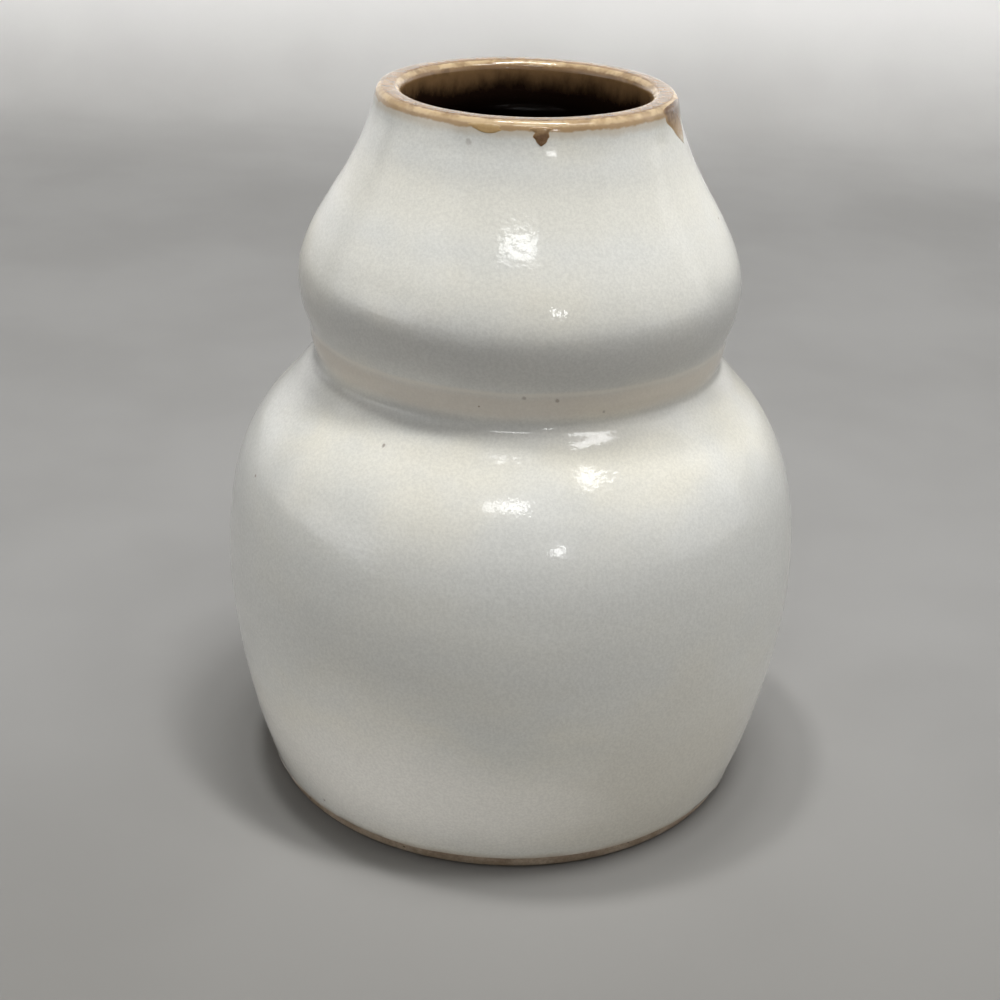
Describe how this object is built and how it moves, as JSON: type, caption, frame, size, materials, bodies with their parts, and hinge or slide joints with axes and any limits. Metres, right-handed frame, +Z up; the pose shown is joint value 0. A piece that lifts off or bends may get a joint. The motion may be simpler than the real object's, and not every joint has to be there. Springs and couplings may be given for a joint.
{
  "type": "gourd vase",
  "caption": "Small hand-thrown stoneware vase, double-gourd shape, with a pale glaze outside, a dark glaze inside and a tan lip.",
  "frame": {"origin": "centre of the foot, on the surface that the vase stands on", "axes": "+Z up along the vase's axis; the picture looks along +Y, with +X to the right"},
  "size_m": [0.0896, 0.0896, 0.11],
  "materials": {
    "stoneware": "matte",
    "slip": "matte",
    "pale_glaze": "gloss",
    "tan_glaze": "gloss",
    "dark_glaze": "gloss",
    "brown_run": "gloss",
    "amber_run": "gloss"
  },
  "bodies": {
    "root": {"lower_bulb": "stoneware", "upper_bulb": "stoneware", "luting_slip": "slip", "waist_roll": "stoneware", "outer_glaze": "pale_glaze", "rim_glaze": "tan_glaze", "liner_glaze": "dark_glaze", "front_drip": "brown_run", "side_run": "brown_run", "left_smear": "amber_run"}
  },
  "joints": []
}
